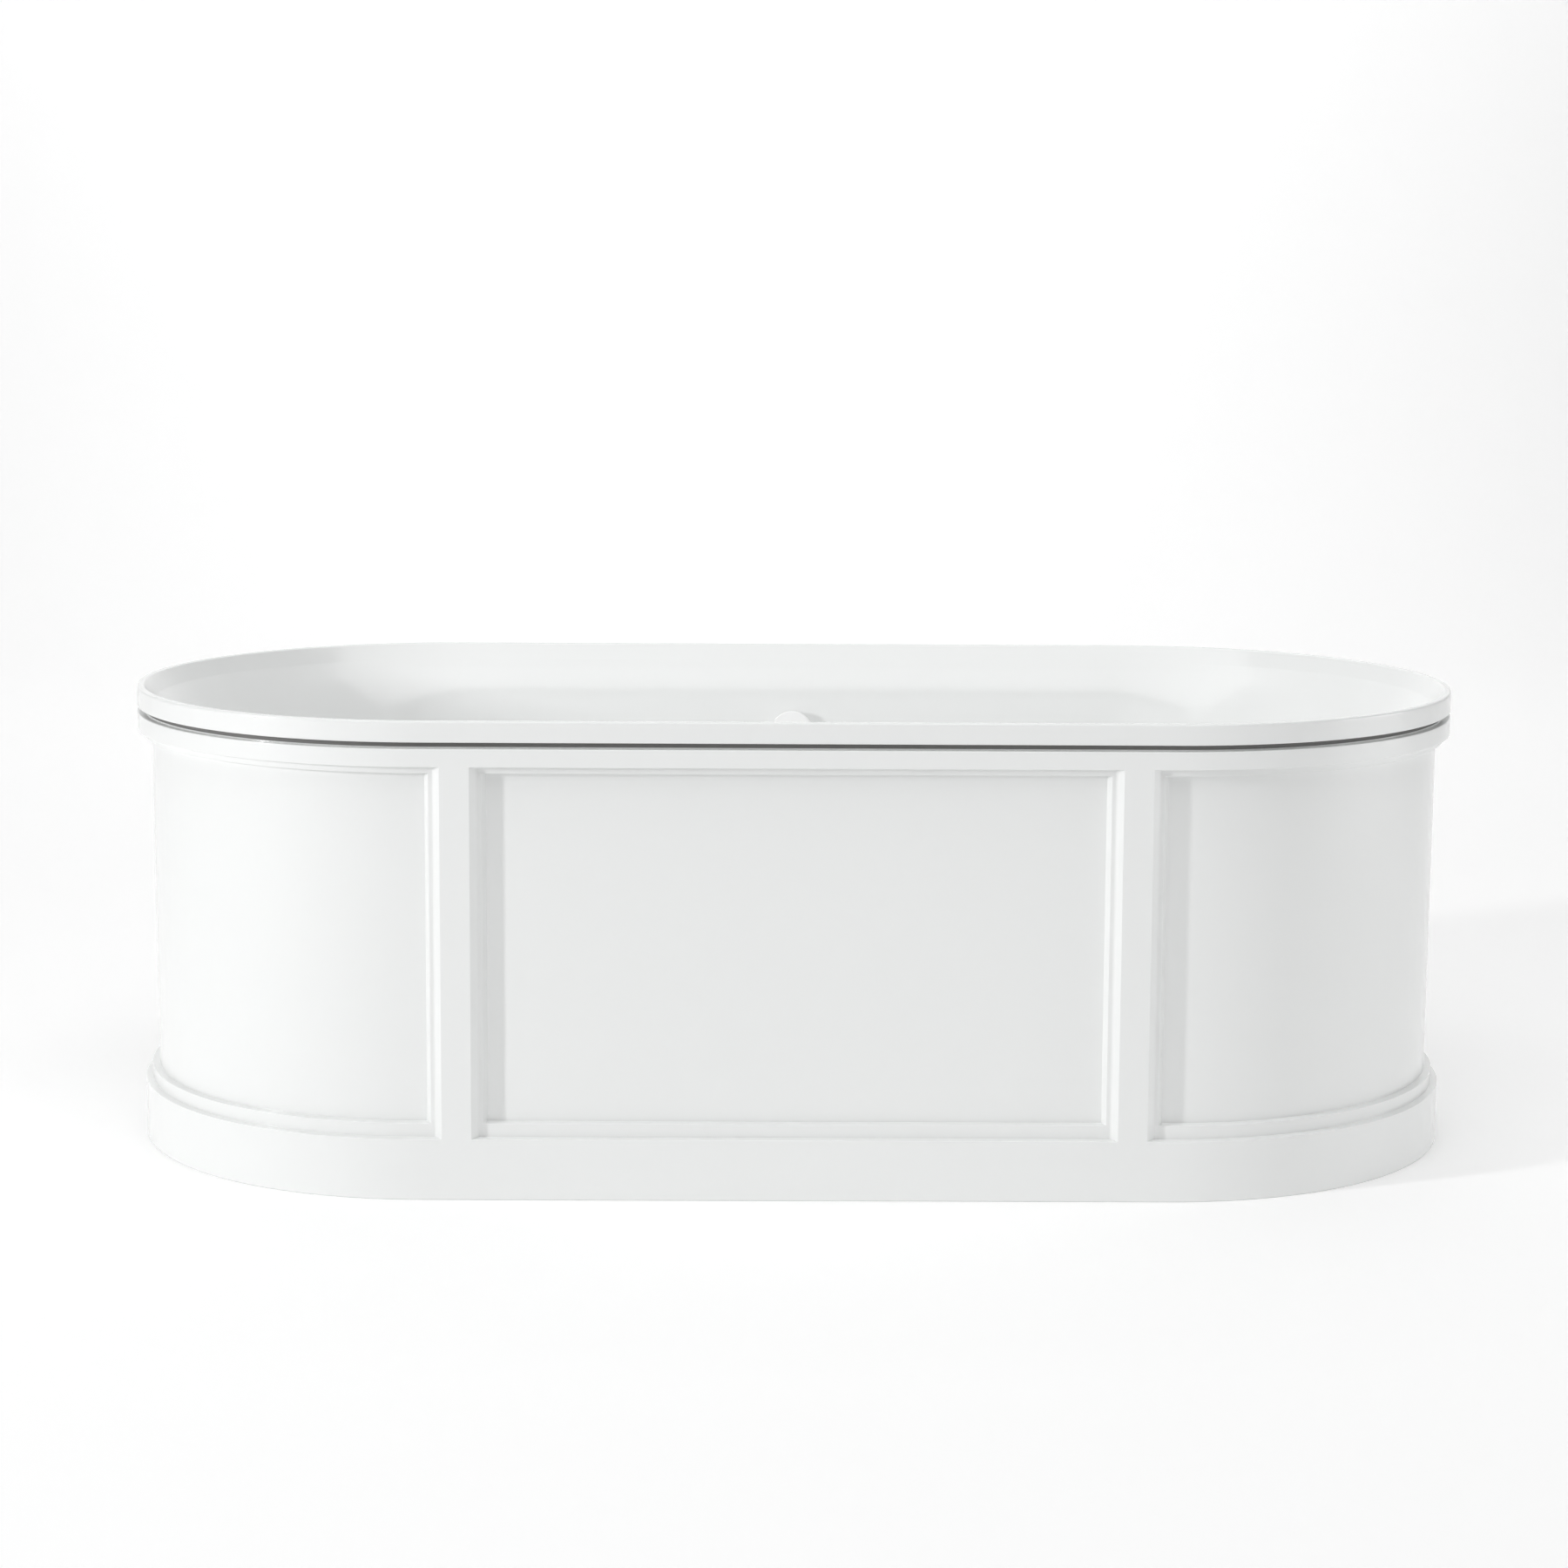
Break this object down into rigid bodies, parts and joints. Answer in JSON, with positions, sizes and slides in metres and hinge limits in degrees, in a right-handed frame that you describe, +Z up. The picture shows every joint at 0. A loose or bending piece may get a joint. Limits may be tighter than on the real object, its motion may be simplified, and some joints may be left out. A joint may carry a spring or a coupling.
{
  "type": "freestanding bathtub",
  "caption": "Oval double-ended freestanding bath in a panelled two-piece skirt, with a rotary overflow that lifts a pop-up waste plug and levelling feet.",
  "frame": {"origin": "on the floor, under the middle of the bath", "axes": "+X along the length, +Y to the side with the overflow, +Z up"},
  "size_m": [1.771, 0.771, 0.614],
  "materials": {
    "white_acrylic": "high gloss",
    "white_plastic": "satin",
    "grey_plastic": "satin",
    "black_plastic": "matt",
    "seal_rubber": "matt",
    "chrome": "polished",
    "zinc_steel": "zinc plated",
    "board_wood": "raw particle board",
    "batten_wood": "planed softwood"
  },
  "bodies": {
    "tub": {"basin": "white_acrylic", "skirt_front": "white_acrylic", "skirt_rear": "white_acrylic", "rim_seal": "seal_rubber", "seam_joiner_left": "grey_plastic", "seam_joiner_right": "grey_plastic", "base_board": "board_wood", "cross_rail_left": "zinc_steel", "cross_rail_right": "zinc_steel", "batten_front_left": "batten_wood", "batten_front_right": "batten_wood", "batten_rear_left": "batten_wood", "batten_rear_right": "batten_wood", "bracket_front_left": "zinc_steel", "bracket_front_right": "zinc_steel", "bracket_rear_left": "zinc_steel", "bracket_rear_right": "zinc_steel", "bracket_screw_front_left": "zinc_steel", "bracket_screw_front_right": "zinc_steel", "bracket_screw_rear_left": "zinc_steel", "bracket_screw_rear_right": "zinc_steel", "bracket_bolt_front_left": "zinc_steel", "bracket_bolt_front_right": "zinc_steel", "bracket_bolt_rear_left": "zinc_steel", "bracket_bolt_rear_right": "zinc_steel", "foot_nut_front_left": "zinc_steel", "foot_nut_front_right": "zinc_steel", "foot_nut_rear_left": "zinc_steel", "foot_nut_rear_right": "zinc_steel", "waste_flange": "chrome", "waste_gasket_upper": "seal_rubber", "waste_gasket_lower": "seal_rubber", "waste_body": "white_plastic", "trap_body": "white_plastic", "trap_nut_inlet": "white_plastic", "trap_nut_outlet": "white_plastic", "trap_outlet": "white_plastic", "overflow_strainer": "chrome", "overflow_body": "white_plastic", "overflow_gasket": "seal_rubber", "overflow_pipe": "grey_plastic", "drive_cable": "black_plastic"},
    "overflow_handle": {"overflow_knob": "white_acrylic"},
    "pop_up_plug": {"waste_plug": "chrome", "plug_seal": "seal_rubber", "plug_stem": "zinc_steel"},
    "foot_front_left": {"foot_pad_front_left": "black_plastic", "foot_stud_front_left": "zinc_steel"},
    "foot_front_right": {"foot_pad_front_right": "black_plastic", "foot_stud_front_right": "zinc_steel"},
    "foot_rear_left": {"foot_pad_rear_left": "black_plastic", "foot_stud_rear_left": "zinc_steel"},
    "foot_rear_right": {"foot_pad_rear_right": "black_plastic", "foot_stud_rear_right": "zinc_steel"}
  },
  "joints": [
    {"name": "overflow_turn", "type": "hinge", "parent": "tub", "child": "overflow_handle", "pos_m": [0, 0.3285, 0.49], "axis": [0, -0.9806, 0.1961], "range_deg": [0, 90]},
    {"name": "plug_lift", "type": "slide", "parent": "tub", "child": "pop_up_plug", "axis": [0, 0, 1], "range_m": [0, 0.012]},
    {"name": "foot_height_front_left", "type": "slide", "parent": "tub", "child": "foot_front_left", "axis": [0, 0, 1], "range_m": [-0.01, 0.008]},
    {"name": "foot_height_front_right", "type": "slide", "parent": "tub", "child": "foot_front_right", "axis": [0, 0, 1], "range_m": [-0.01, 0.008]},
    {"name": "foot_height_rear_left", "type": "slide", "parent": "tub", "child": "foot_rear_left", "axis": [0, 0, 1], "range_m": [-0.01, 0.008]},
    {"name": "foot_height_rear_right", "type": "slide", "parent": "tub", "child": "foot_rear_right", "axis": [0, 0, 1], "range_m": [-0.01, 0.008]}
  ],
  "couplings": [
    {"joint": "overflow_turn", "follows": "plug_lift", "rad_per_m": 130.89}
  ]
}
